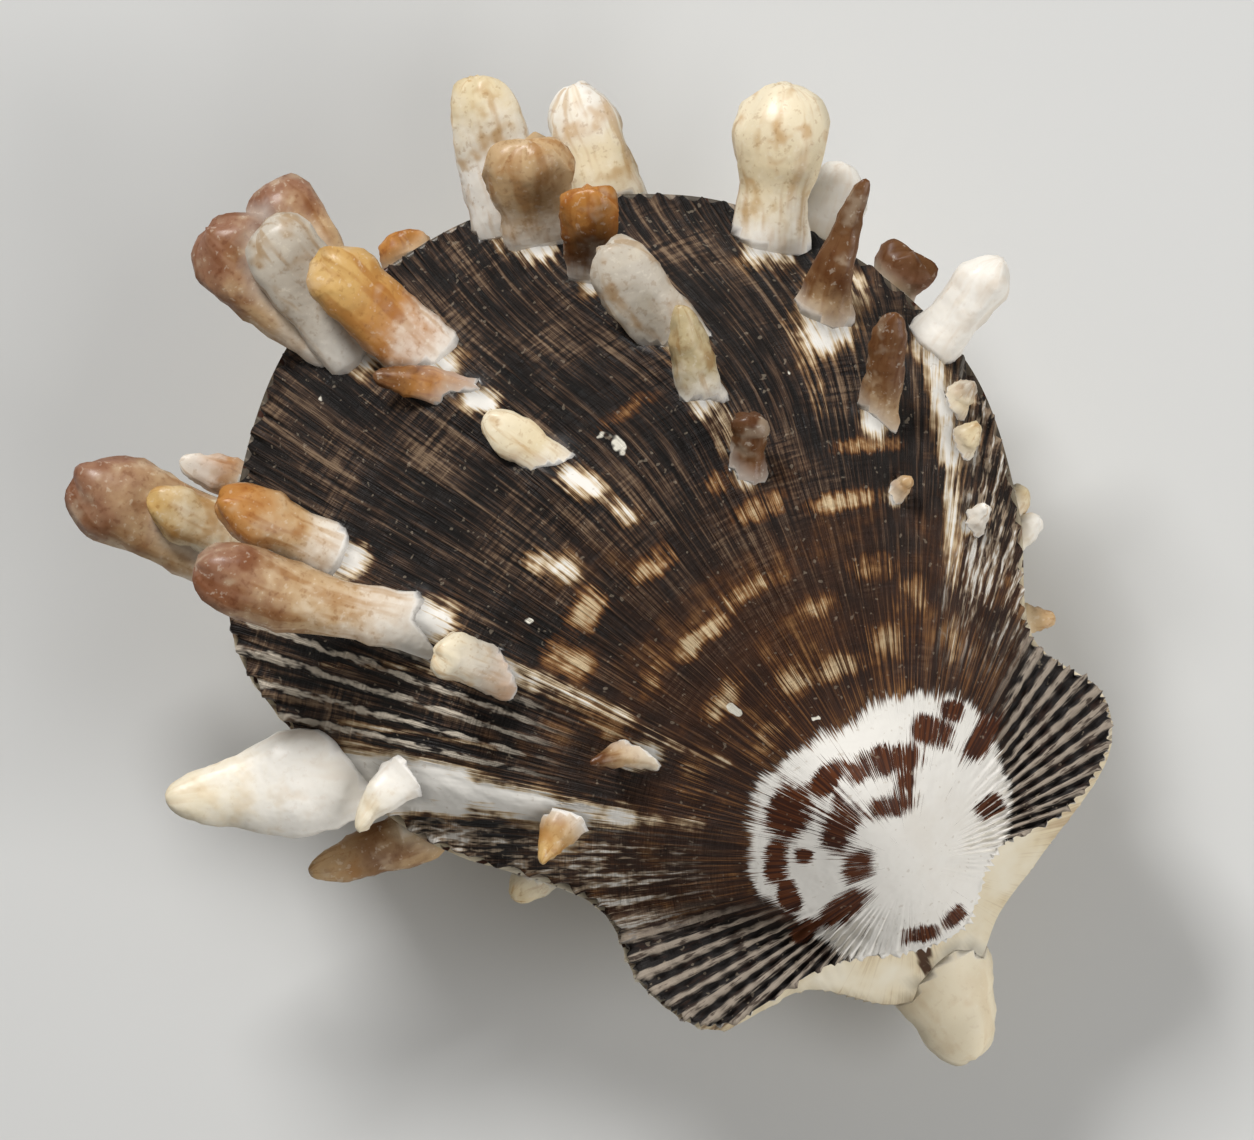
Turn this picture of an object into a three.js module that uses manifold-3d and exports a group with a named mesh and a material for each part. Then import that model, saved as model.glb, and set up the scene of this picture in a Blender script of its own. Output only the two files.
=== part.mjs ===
// A spiny oyster shell with its two valves closed on each other.
// Millimetres. +Y runs from the hinge to the far margin, +X along the hinge, +Z up through the upper valve.
// Shapes are laid out about the middle of the hinge line, with the plane between the valves at z = 0.
// The finished shell stands on the flat scar by which the lower valve once grew on a rock.
import * as THREE from "three";
import { mergeVertices } from "three/addons/utils/BufferGeometryUtils.js";
import Module from "manifold-3d";

// Driving dimensions
const DOME_HEIGHT = 19;
const BOWL_DEPTH = 27;
const SCAR_DEPTH = 23.5;
const HALF_GAP = 0.15;
const UPPER_EDGE = 2;
const LOWER_EDGE = 2.6;
const LOWER_FLARE = 0.7;
const UPPER_HOLLOW = 13.5;
const LOWER_HOLLOW = 18;
const UMBO_RISE = 4.5;
const UMBO_SPREAD = 10;
const RIB_HEIGHT = 0.9;
const RIB_HALF_WIDTH = 2;
const HINGE_LINE = -2.5;
const HINGE_SLOPE = 1.05;
const RIM_TURN = 0.42;
const SPINE_SINK = 1.4;
const SPINE_FLATNESS = 0.55;
const SPINE_LEAST = 0.9;

// How finely the curved faces are divided
const COLUMNS = 96;
const OUTER_ROWS = 10;
const HOLLOW_ROWS = 3;
const SPINE_SIDES = 8;
const SPINE_STATIONS = [0, 0.22, 0.45, 0.68, 0.88];

// Plan points: the umbo, where ribs start, and the middles of the disc and of the hollow
const UMBO = [0, 1];
const UMBO_TOP = [0.5, 8];
const DISC_CENTRE = [-3, 36];
const HOLLOW_CENTRE = [-3, 41];

// The far margin of the disc, from the notch below one ear round to the notch below the other
const DISC_MARGIN = [
  [23.5, 11.1], [30.3, 22.2], [35.2, 35.7], [33.7, 50], [27, 63.3], [20.2, 70], [7.3, 77.8],
  [-4.7, 79.9], [-15.1, 80.2], [-27.7, 72.9], [-38.6, 60.5], [-39.8, 50], [-35.9, 32.6], [-26.7, 16.8],
];
// The ears and the beak between them, which close the upper outline
const EAR_EDGE = [
  [-28, 8], [-25.3, 0.4], [-12.4, -2.1], [-4, -6.6], [0.5, -7.4], [7.7, -3.4], [15.3, -4.4], [22.6, -2.2],
  [25.6, 2.5],
];
// The foot of the dome where it meets the ears
const DOME_FOOT = [[-14, 1.5], [-4, -6.6], [0.5, -7.4], [10, -2.5]];
// The hinge area of the lower valve, from one ear to the other
const HINGE_EDGE = [
  [-28.4, 8], [-25.5, 0], [-15.7, -2.6], [-9.4, -9.3], [-1.5, -11.5], [4.4, -8.5], [11, -6.6], [22.8, -2.6],
  [25.8, 2.4],
];
const HOLLOW_EDGE = [
  [-3, 74], [17, 66], [30, 48], [30.5, 34], [20, 16], [0, 9], [-19, 18], [-31, 35], [-36, 50], [-24, 68],
];

// Main ribs: angle from +Y at the umbo, in degrees, and how far the rib swings aside as it grows
const RIBS = [
  { angle: -43, swing: 0 },
  { angle: -26, swing: 0 },
  { angle: -5, swing: -2 },
  { angle: 14, swing: -7 },
  { angle: 33, swing: -7 },
  { angle: 42, swing: 0 },
];
const SWING_START = 45;
const SWING_END = 72;
const RIB_START = 10;
const RIB_FULL = 40;

// Spines of the upper valve: plan points of root and tip, climb from root to tip, widths at both ends
const UPPER_SPINES = [
  { from: [-37.5, 41.9], to: [-54.4, 51.6], climb: 1, root: 7, tip: 9.4 },
  { from: [-34.6, 38.5], to: [-40.5, 37.8], climb: 2, root: 5, tip: 2.4 },
  { from: [-23.2, 24.9], to: [-28.9, 23.5], climb: 2, root: 4.4, tip: 2.4 },
  { from: [-13.8, 25.2], to: [-19, 28.2], climb: 3, root: 3.4, tip: 1.8 },
  { from: [-19.9, 40.1], to: [-24.4, 46.2], climb: 4, root: 4.4, tip: 4 },
  { from: [-22.2, 48.5], to: [-37.7, 67.5], climb: 4, root: 5.6, tip: 7.3 },
  { from: [-25, 58.7], to: [-31.8, 71.6], climb: 4, root: 5, tip: 5.6 },
  { from: [-32, 63.5], to: [-41.7, 82.7], climb: 1, root: 7, tip: 9 },
  { from: [-31, 63.2], to: [-37, 76.4], climb: 4, root: 5, tip: 5.4 },
  { from: [-2.2, 49.6], to: [-6.1, 61.6], climb: 1, root: 3.6, tip: 3.8 },
  { from: [-4.8, 62.5], to: [-12.1, 71.8], climb: 1, root: 3.4, tip: 3 },
  { from: [-6.3, 68.6], to: [-9.3, 84.6], climb: 4, root: 6, tip: 6 },
  { from: [-10.8, 74], to: [-11.7, 90.6], climb: 3, root: 6.5, tip: 7 },
  { from: [-11.5, 76], to: [-15.9, 93.9], climb: 2, root: 7, tip: 8.2 },
  { from: [-10.5, 76.5], to: [-8.2, 93.7], climb: 1, root: 5, tip: 5.5 },
  { from: [10.6, 40.9], to: [14.6, 45.4], climb: 4, root: 3.4, tip: 3 },
  { from: [12, 49.3], to: [15.7, 58.1], climb: 6, root: 4, tip: 3.6 },
  { from: [14, 54.1], to: [13.7, 67.4], climb: 6, root: 5.4, tip: 6.6 },
  { from: [10.7, 65.6], to: [15.9, 73], climb: 8, root: 4.6, tip: 6 },
  { from: [9, 72], to: [14.2, 80.9], climb: 7, root: 5.4, tip: 9 },
  { from: [8.2, 75], to: [14.4, 89.4], climb: 4, root: 6.2, tip: 7.6 },
  { from: [20.9, 30.6], to: [23.5, 30.8], climb: 2, root: 2.4, tip: 2 },
  { from: [24, 37.3], to: [32.1, 44.6], climb: 7, root: 4, tip: 3.8 },
  { from: [26, 47.9], to: [38.2, 56.8], climb: 8, root: 6.6, tip: 1.8 },
  { from: [27.6, 58.5], to: [38.3, 69.6], climb: 5, root: 7, tip: 9.6 },
  { from: [34, 40.3], to: [44.5, 42.6], climb: 4, root: 5.4, tip: 5.2 },
  { from: [31.5, 34.2], to: [34.6, 34.6], climb: 2, root: 3, tip: 2.4 },
  { from: [29.4, 30.6], to: [32.4, 31], climb: 2, root: 3, tip: 2.4 },
  { from: [25.4, 23.6], to: [28, 24.1], climb: 2, root: 2.6, tip: 2.2 },
];
// Spines of the lower valve, which also give the height of the root
const LOWER_SPINES = [
  { from: [-2.8, 76.5], to: [-1.1, 82.6], height: -4, climb: 2, root: 4.8, tip: 4.4 },
  { from: [16, 67.5], to: [22.1, 83.3], height: -5, climb: 2, root: 7, tip: 6.6 },
  { from: [29.5, 54], to: [38.8, 60], height: -5, climb: 2, root: 6.4, tip: 5.6 },
  { from: [32.4, 46.3], to: [38.5, 49], height: -5, climb: 3, root: 4.8, tip: 4.2 },
  { from: [-26.2, 68.5], to: [-32.3, 78], height: -5, climb: 2, root: 4, tip: 3.4 },
  { from: [-34, 32.8], to: [-47.6, 37.5], height: -5, climb: 2, root: 5, tip: 4.4 },
  { from: [-26, 22.8], to: [-33.2, 23], height: -5, climb: 2, root: 4, tip: 3.2 },
  { from: [27.6, 22.8], to: [32.8, 23.2], height: -4, climb: 1, root: 3.6, tip: 3 },
  { from: [27, 20.2], to: [32, 20.2], height: -4, climb: 1, root: 3, tip: 2.6 },
  { from: [22.2, 14.5], to: [26.9, 11.2], height: -3, climb: 1, root: 2.8, tip: 2.2 },
  { from: [-3.4, -6], to: [-6.5, -18.4], height: -9, climb: -3, root: 11, tip: 5.6 },
];

const wasm = await Module();
wasm.setup();

function clamp01(value) {
  return Math.min(1, Math.max(0, value));
}

function smoothMax(a, b, blend) {
  return (a + b + Math.sqrt((a - b) ** 2 + blend ** 2)) / 2;
}

function closedCurve(points) {
  const corners = points.map(([x, y]) => new THREE.Vector3(x, y, 0));
  return new THREE.CatmullRomCurve3(corners, true, "centripetal");
}

// Distance from a centre to a closed outline, as a function of direction
function reachFrom(centre, outline) {
  const samples = closedCurve(outline).getPoints(720).map((point) => {
    const dx = point.x - centre[0];
    const dy = point.y - centre[1];
    return { angle: Math.atan2(dx, dy), reach: Math.hypot(dx, dy) };
  });
  samples.sort((a, b) => a.angle - b.angle);
  return (x, y) => {
    const angle = Math.atan2(x - centre[0], y - centre[1]);
    const next = samples.findIndex((sample) => sample.angle > angle);
    const after = samples[next < 0 ? 0 : next];
    const before = samples[next <= 0 ? samples.length - 1 : next - 1];
    const span = (after.angle - before.angle + 2 * Math.PI) % (2 * Math.PI) || 1;
    const part = ((angle - before.angle + 2 * Math.PI) % (2 * Math.PI)) / span;
    return before.reach + (after.reach - before.reach) * part;
  };
}

const domeReach = reachFrom(DISC_CENTRE, [...DISC_MARGIN, ...DOME_FOOT]);
const hollowReach = reachFrom(HOLLOW_CENTRE, HOLLOW_EDGE);

// How far a plan point lies from the disc's middle, 0 there and 1 at the foot of the dome
function discShare(x, y) {
  return Math.hypot(x - DISC_CENTRE[0], y - DISC_CENTRE[1]) / domeReach(x, y);
}

function ribRelief(x, y) {
  const distance = Math.hypot(x - UMBO[0], y - UMBO[1]);
  const bearing = THREE.MathUtils.radToDeg(Math.atan2(x - UMBO[0], y - UMBO[1]));
  const swung = THREE.MathUtils.smoothstep(distance, SWING_START, SWING_END);
  let relief = 0;
  for (const rib of RIBS) {
    const aside = THREE.MathUtils.degToRad(bearing - rib.angle - rib.swing * swung) * distance;
    relief += Math.exp(-((aside / RIB_HALF_WIDTH) ** 2));
  }
  return RIB_HEIGHT * relief * THREE.MathUtils.smoothstep(distance, RIB_START, RIB_FULL);
}

function upperHeight(x, y) {
  const inside = clamp01(1 - discShare(x, y) ** 2);
  const toUmbo = Math.hypot(x - UMBO_TOP[0], y - UMBO_TOP[1]) / UMBO_SPREAD;
  const umbo = UMBO_RISE * Math.exp(-(toUmbo ** 2)) * Math.sqrt(inside);
  const dome = DOME_HEIGHT * inside ** 0.78 + umbo;
  return HALF_GAP + smoothMax(dome, UPPER_EDGE, 1) + ribRelief(x, y) * inside ** 0.2;
}

function hingeDrop(y) {
  return HINGE_SLOPE * Math.max(0, HINGE_LINE - y);
}

function lowerHeight(x, y) {
  const inside = clamp01(1 - discShare(x, y) ** 2.4);
  const bowl = BOWL_DEPTH * inside ** 0.62;
  return -HALF_GAP - smoothMax(bowl, LOWER_EDGE + hingeDrop(y), 1.5);
}

// A closed skin over rings of points, from a single first point to a single last one
function skin(rings) {
  const points = rings.flat();
  const starts = [];
  let count = 0;
  for (const ring of rings) {
    starts.push(count);
    count += ring.length;
  }
  const faces = [];
  for (let row = 0; row + 1 < rings.length; row += 1) {
    const lower = rings[row].length;
    const upper = rings[row + 1].length;
    const sides = Math.max(lower, upper);
    for (let side = 0; side < sides; side += 1) {
      const a = starts[row] + (side % lower);
      const b = starts[row] + ((side + 1) % lower);
      const c = starts[row + 1] + (side % upper);
      const d = starts[row + 1] + ((side + 1) % upper);
      if (a !== b) faces.push(a, b, d);
      if (c !== d) faces.push(a, d, c);
    }
  }
  const geometry = new THREE.BufferGeometry().setFromPoints(points);
  geometry.setIndex(faces);
  return geometry;
}

function solid(geometry) {
  const bare = new THREE.BufferGeometry();
  bare.setAttribute("position", geometry.getAttribute("position"));
  bare.setIndex(geometry.getIndex());
  const merged = mergeVertices(bare, 1e-4);
  const vertProperties = new Float32Array(merged.getAttribute("position").array);
  const triVerts = new Uint32Array(merged.getIndex().array);
  return new wasm.Manifold(new wasm.Mesh({ numProp: 3, vertProperties, triVerts }));
}

// One valve: its outer face from the umbo to the outline, the flat rim, and the hollow inside
function valveSkin({ outline, outerHeight, rimHeight, hollowTop, rimTurns = [] }) {
  const edge = closedCurve(outline).getSpacedPoints(COLUMNS).slice(0, COLUMNS);
  const up = Math.sign(hollowTop);
  const place = (x, y, z) => new THREE.Vector3(x, y, z);
  const inHollow = (point, share) => {
    const dx = point.x - HOLLOW_CENTRE[0];
    const dy = point.y - HOLLOW_CENTRE[1];
    const reach = (share * hollowReach(point.x, point.y)) / Math.hypot(dx, dy);
    const rise = hollowTop * Math.sqrt(1 - share ** 2);
    return place(HOLLOW_CENTRE[0] + dx * reach, HOLLOW_CENTRE[1] + dy * reach, up * HALF_GAP + rise);
  };
  const rings = [[place(UMBO[0], UMBO[1], outerHeight(...UMBO))]];
  for (let row = 1; row <= OUTER_ROWS; row += 1) {
    const share = (row / OUTER_ROWS) ** 0.85;
    rings.push(edge.map((point) => {
      const x = UMBO[0] + share * (point.x - UMBO[0]);
      const y = UMBO[1] + share * (point.y - UMBO[1]);
      return place(x, y, outerHeight(x, y));
    }));
  }
  rings.push(edge.map((point) => place(point.x, point.y, rimHeight(point.x, point.y))));
  for (const turn of rimTurns) {
    rings.push(edge.map((point) => {
      const inner = inHollow(point, 1);
      const x = point.x + turn * (inner.x - point.x);
      const y = point.y + turn * (inner.y - point.y);
      return place(x, y, up * HALF_GAP);
    }));
  }
  for (let row = HOLLOW_ROWS; row > 0; row -= 1) {
    const share = Math.sin((row / HOLLOW_ROWS) * (Math.PI / 2));
    rings.push(edge.map((point) => inHollow(point, share)));
  }
  rings.push([place(HOLLOW_CENTRE[0], HOLLOW_CENTRE[1], up * HALF_GAP + hollowTop)]);
  if (up > 0) rings.reverse();
  return skin(rings);
}

// A spine: a flattened tube that widens or narrows from its root and ends rounded
function spine({ from, to, climb, root, tip, height }) {
  const clearOfRim = HALF_GAP + (SPINE_FLATNESS * root) / 2;
  const rootHeight = height ?? Math.max(clearOfRim, upperHeight(...from) - SPINE_SINK);
  const start = new THREE.Vector3(from[0], from[1], rootHeight);
  const end = new THREE.Vector3(to[0], to[1], start.z + climb);
  const along = end.clone().sub(start);
  const across = new THREE.Vector3(along.y, -along.x, 0).normalize();
  const lift = across.clone().cross(along).normalize();
  const rings = [[start]];
  for (const station of SPINE_STATIONS) {
    const centre = start.clone().addScaledVector(along, station);
    const rounding = Math.sqrt(1 - Math.max(0, (station - 0.6) / 0.4) ** 2 * 0.6);
    const halfWidth = (rounding * (root + (tip - root) * station)) / 2;
    const halfThickness = Math.max(SPINE_LEAST, halfWidth * SPINE_FLATNESS);
    const ring = [];
    for (let side = 0; side < SPINE_SIDES; side += 1) {
      const angle = (-side / SPINE_SIDES) * 2 * Math.PI;
      ring.push(centre.clone()
        .addScaledVector(across, halfWidth * Math.cos(angle))
        .addScaledVector(lift, halfThickness * Math.sin(angle)));
    }
    rings.push(ring);
  }
  rings.push([end]);
  return solid(skin(rings));
}

function pieceMesh(name, body, colour, roughness) {
  const { vertProperties, triVerts } = body.getMesh();
  const geometry = new THREE.BufferGeometry();
  geometry.setAttribute("position", new THREE.BufferAttribute(vertProperties, 3));
  geometry.setIndex(new THREE.BufferAttribute(triVerts, 1));
  geometry.computeVertexNormals();
  const material = new THREE.MeshStandardMaterial({ color: colour, roughness, metalness: 0 });
  const mesh = new THREE.Mesh(geometry, material);
  mesh.name = name;
  return mesh;
}

function upperValve() {
  let body = solid(valveSkin({
    outline: [...DISC_MARGIN, ...EAR_EDGE],
    outerHeight: upperHeight,
    rimHeight: () => HALF_GAP,
    hollowTop: UPPER_HOLLOW,
  }));
  for (const entry of UPPER_SPINES) body = body.add(spine(entry));
  return pieceMesh("upper_valve", body, 0x2b211b, 0.45);
}

function lowerValve() {
  const flared = DISC_MARGIN.map(([x, y]) => {
    const away = new THREE.Vector2(x - DISC_CENTRE[0], y - DISC_CENTRE[1]).setLength(LOWER_FLARE);
    return [x + away.x, y + away.y];
  });
  let body = solid(valveSkin({
    outline: [...flared, ...HINGE_EDGE],
    outerHeight: lowerHeight,
    rimHeight: (x, y) => -HALF_GAP - hingeDrop(y),
    rimTurns: [RIM_TURN],
    hollowTop: -LOWER_HOLLOW,
  }));
  for (const entry of LOWER_SPINES) body = body.add(spine(entry));
  const ground = new THREE.BoxGeometry(200, 200, 40);
  ground.translate(DISC_CENTRE[0], DISC_CENTRE[1], -SCAR_DEPTH - 20);
  body = body.subtract(solid(ground));
  return pieceMesh("lower_valve", body, 0xd9cbb0, 0.55);
}

const shell = new THREE.Group();
shell.add(upperValve(), lowerValve());
shell.position.set(-DISC_CENTRE[0], -DISC_CENTRE[1], SCAR_DEPTH);

export default shell;
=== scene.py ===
"""Looks of a spiny oyster shell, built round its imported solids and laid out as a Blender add-on.

Shapes are worked out in millimetres about the middle of the hinge line, with the plane between
the valves at z = 0, and are then placed in the frame, whose origin is the scar underneath.
"""

import math

import bpy
import numpy as np
from bpy.props import FloatProperty, FloatVectorProperty, IntProperty, PointerProperty
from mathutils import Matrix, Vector
from mathutils.kdtree import KDTree


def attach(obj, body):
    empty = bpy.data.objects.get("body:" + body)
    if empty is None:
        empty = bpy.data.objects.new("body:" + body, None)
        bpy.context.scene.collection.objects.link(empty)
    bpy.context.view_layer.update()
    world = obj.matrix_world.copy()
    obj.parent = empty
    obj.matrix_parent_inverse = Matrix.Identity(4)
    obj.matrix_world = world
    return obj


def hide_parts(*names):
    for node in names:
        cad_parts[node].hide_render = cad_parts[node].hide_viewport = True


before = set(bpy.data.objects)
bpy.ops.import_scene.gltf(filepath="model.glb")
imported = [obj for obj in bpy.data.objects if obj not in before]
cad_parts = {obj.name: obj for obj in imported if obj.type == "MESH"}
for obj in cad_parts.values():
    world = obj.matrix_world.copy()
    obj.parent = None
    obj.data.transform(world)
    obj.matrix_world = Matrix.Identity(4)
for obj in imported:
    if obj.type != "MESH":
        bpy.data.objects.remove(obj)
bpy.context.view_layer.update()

bl_info = {
    "name": "Spiny oyster shell",
    "version": (1, 0, 0),
    "blender": (4, 5, 0),
    "location": "View3D > Sidebar > Shell",
    "description": "Builds the two valves of a spiny oyster shell and a plain stage",
    "category": "Object",
}

MM = 0.001
PLACE = np.array([3.0, -36.0, 23.5])

# Main sizes, as in the solids
DOME_HEIGHT = 19.0
BOWL_DEPTH = 27.0
SCAR_DEPTH = 23.5
HALF_GAP = 0.15
UPPER_EDGE = 2.0
LOWER_EDGE = 2.6
UPPER_HOLLOW = 13.5
LOWER_HOLLOW = 18.0
UMBO_RISE = 4.5
UMBO_SPREAD = 10.0
RIB_HEIGHT = 0.9
RIB_HALF_WIDTH = 2.0
HINGE_LINE = -2.5
HINGE_SLOPE = 1.05
RIM_TURN = 0.42
SPINE_SINK = 1.4
# Sizes of the fine meshes alone
LOWER_FLARE = 0.4
LOWER_COARSER = 1.8
FULL_SINK_LENGTH = 12.0
RIDGE_HEIGHT = 0.6
LEFT_RIB_PITCH = 2.3
BEAD_PITCH = 2.1
RING_POWER = 0.92
RIM_INSET = 0.994
RIM_STEPS = 6
HOLLOW_ROWS = 4
BUMP_DEPTH = 0.0004
TURN = 2 * math.pi

UMBO = (0.0, 1.0)
UMBO_TOP = (0.5, 8.0)
DISC_CENTRE = (-3.0, 36.0)
HOLLOW_CENTRE = (-3.0, 41.0)
DISC_MARGIN = [
    (23.5, 11.1), (30.3, 22.2), (35.2, 35.7), (33.7, 50), (27, 63.3), (20.2, 70), (7.3, 77.8),
    (-4.7, 79.9), (-15.1, 80.2), (-27.7, 72.9), (-38.6, 60.5), (-39.8, 50), (-35.9, 32.6), (-26.7, 16.8),
]
EAR_EDGE = [
    (-28, 8), (-25.3, 0.4), (-12.4, -2.1), (-4, -6.6), (0.5, -7.4), (7.7, -3.4), (15.3, -4.4),
    (22.6, -2.2), (25.6, 2.5),
]
DOME_FOOT = [(-14, 1.5), (-4, -6.6), (0.5, -7.4), (10, -2.5)]
HINGE_EDGE = [
    (-28.4, 8), (-25.5, 0), (-15.7, -2.6), (-9.4, -9.3), (-1.5, -11.5), (4.4, -8.5), (11, -6.6),
    (22.8, -2.6), (25.8, 2.4),
]
HOLLOW_EDGE = [
    (-3, 74), (17, 66), (30, 48), (30.5, 34), (20, 16), (0, 9), (-19, 18), (-31, 35), (-36, 50), (-24, 68),
]

# Main ribs: bearing at the umbo in degrees, and how far the rib swings aside between two distances
RIBS = [(-43, 0), (-26, 0), (-5, -2), (14, -7), (33, -7), (42, 0)]
SWING = (45.0, 72.0)
RIB_RAMP = (10.0, 40.0)

# Edge of the white patch at the umbo: bearing, distance
UMBO_PATCH = [
    (-180, 9), (-92, 11.2), (-73, 12.7), (-57, 14.9), (-37, 15.6), (-28, 16.1), (-8, 14.6), (16, 14.2),
    (33, 16.3), (50, 16.6), (61, 16.1), (80, 13.9), (118, 9.4), (180, 9),
]
# Dark dashes on it: plan point, half width across the threads, half length along them
DASHES = [
    (9.7, 9.8, 2.2, 1.5), (4.6, 10.1, 2.8, 1.6), (1.6, 11.2, 1.6, 1.2), (1.9, 6.5, 2.4, 1.1),
    (4.4, 7.6, 1.0, 1.0),
    (-3.6, 8.0, 2.6, 1.7), (-4.4, 3.9, 1.5, 1.6), (-6.6, 12.3, 2.8, 2.2), (-10.4, 9.3, 2.4, 1.2),
    (-11.6, 5.8, 1.8, 1.1),
    (-8.0, 8.0, 0.8, 0.9), (13.4, 6.4, 1.2, 2.8), (9.8, 0.4, 0.9, 1.5), (-8.0, 1.6, 1.2, 2.8),
    (-3.4, -5.3, 1.9, 0.8),
    (0.2, -6.0, 1.4, 0.8), (-1.6, 12.6, 2.4, 1.2), (12.6, 10.2, 1.2, 1.2), (-12.4, 2.2, 1.0, 1.6),
]
# The slit of the ligament on the hinge area, in the same way
HINGE_MARKS = [(-4.6, -7.8, 0.5, 1.5), (-4.0, -6.6, 0.8, 0.8)]
# Tan and cream flecks beyond it: plan point, half width across, half length along, strength
FLECKS = [
    (-4.9, 25.0, 2.6, 1.0, 0.9), (-2.4, 31.2, 3.6, 0.9, 1.0), (-2.0, 39.6, 2.2, 1.2, 0.8),
    (-10.2, 40.2, 2.2, 1.6, 0.9), (-14.4, 37.6, 1.6, 2.4, 0.8), (9.8, 37.5, 2.6, 1.2, 0.6),
    (8.2, 26.4, 2.2, 1.2, 0.7), (3.4, 32.0, 3.4, 1.0, 0.8), (14.8, 26.2, 2.4, 1.4, 0.6),
    (16.9, 33.0, 3.6, 0.9, 1.0), (16.2, 21.6, 1.6, 2.0, 0.7), (2.1, 22.2, 2.4, 1.6, 0.8),
    (8.3, 42.0, 1.4, 1.2, 0.7), (6.2, 20.6, 2.8, 1.3, 0.8), (11.5, 19.4, 2.2, 1.8, 0.7),
    (-9.0, 31.0, 2.0, 1.2, 0.5), (-15.5, 30.4, 1.2, 2.6, 0.8), (22.0, 36.2, 3.2, 0.8, 0.7),
    (5.0, 53.4, 3.6, 0.8, 0.5), (-12.0, 21.0, 3.0, 1.6, 0.5), (-3.8, 19.6, 2.6, 1.3, 0.6),
]
# Painted glints, highlights on the upper valve's threads: plan point, half width across, half length along,
# strength
PAINTED_GLINTS = [
    (2.2, 51.9, 1.6, 2.6, 0.55), (16.3, 47.4, 1.2, 2.4, 0.5), (-4.9, 50.8, 0.8, 2.0, 0.45),
    (-17.2, 73.5, 0.9, 0.9, 0.6),
    (-4.6, 23.5, 0.5, 1.0, 0.7), (1.2, 17.9, 0.6, 0.8, 0.7), (20.6, 46.0, 0.8, 2.0, 0.4),
    (-15.2, 43.2, 0.6, 1.2, 0.5),
]
# White and cream patches along the main ribs: two plan points, half width, strength
PALE_STROKES = [
    ((-38.5, 42.4), (-31.0, 34.4), 2.8, 1.5), ((-31.0, 34.4), (-25.0, 27.4), 2.0, 1.2),
    ((-25.0, 27.4), (-19.0, 21.4), 1.4, 0.9), ((-19.0, 21.4), (-14.0, 16.6), 0.9, 0.65),
    ((-24.5, 45.5), (-20.4, 41.2), 2.0, 0.8), ((-18.6, 38.6), (-13.6, 29.6), 1.6, 0.7),
    ((-13.0, 27.0), (-8.6, 20.0), 1.0, 0.5), ((-10.8, 46.8), (-8.6, 44.4), 1.6, 0.8),
    ((-2.6, 51.0), (-1.0, 45.2), 1.5, 0.7), ((12.6, 48.8), (11.2, 44.8), 1.6, 0.7),
    ((22.4, 46.4), (21.0, 41.6), 1.4, 0.5), ((33.6, 39.6), (27.8, 29.8), 1.7, 0.9),
    ((27.8, 29.8), (21.8, 22.0), 1.3, 0.75), ((21.8, 22.0), (15.8, 14.2), 0.9, 0.5),
    ((-33.6, 52.6), (-22.0, 42.0), 0.6, 0.5), ((-36.0, 47.0), (-25.4, 35.4), 0.5, 0.5),
]

# Colours, as display values
PALETTE = {
    "white": (243, 238, 228), "cream": (238, 225, 196), "bone": (222, 204, 166), "grey": (196, 186, 170),
    "tan": (196, 164, 122), "amber": (182, 124, 60), "honey": (206, 168, 104), "brown": (112, 76, 46),
    "purple": (142, 100, 76), "olive": (192, 174, 134), "umber": (92, 60, 36),
}
# Colours of marks and edges, as display values
SHADES = {
    "worn": (238, 226, 200), "chalky": (244, 236, 218), "glow": (96, 58, 28), "fringe tan": (138, 94, 52),
    "fringe dark": (36, 20, 13), "rib line": (206, 194, 176), "flank": (168, 148, 124),
    "root rim": (96, 62, 38), "ear dark": (26, 21, 19), "ear light": (158, 145, 130),
    "ear spot": (46, 30, 23), "umbo shade": (214, 204, 188), "dash dark": (54, 24, 10),
    # On the next line, the tone after dash brown is painted highlight: glints on the upper valve's threads
    "dash brown": (92, 48, 20), "painted glint": (228, 222, 206), "speck": (176, 160, 138),
    "inside": (226, 220, 210), "inside edge": (70, 56, 46), "lower pale": (238, 230, 210),
    "lower cream": (224, 208, 174), "growth band": (186, 154, 112), "margin comb": (120, 84, 66),
    # The first colour on the next line is painted shade along the lower valve's margin, under the upper
    # valve's edge
    "painted margin shade": (44, 32, 26), "margin spot": (64, 34, 20), "slit": (74, 48, 28),
}
# Colours of the threads, from the grooves to the crests
THREAD_TONES = [(0.36, (9, 7, 6)), (0.48, (28, 20, 16)), (0.57, (74, 55, 42)), (0.7, (138, 114, 90))]
# Spines of only these colours are hardly stained
CLEAN = {"white", "cream"}

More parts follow.
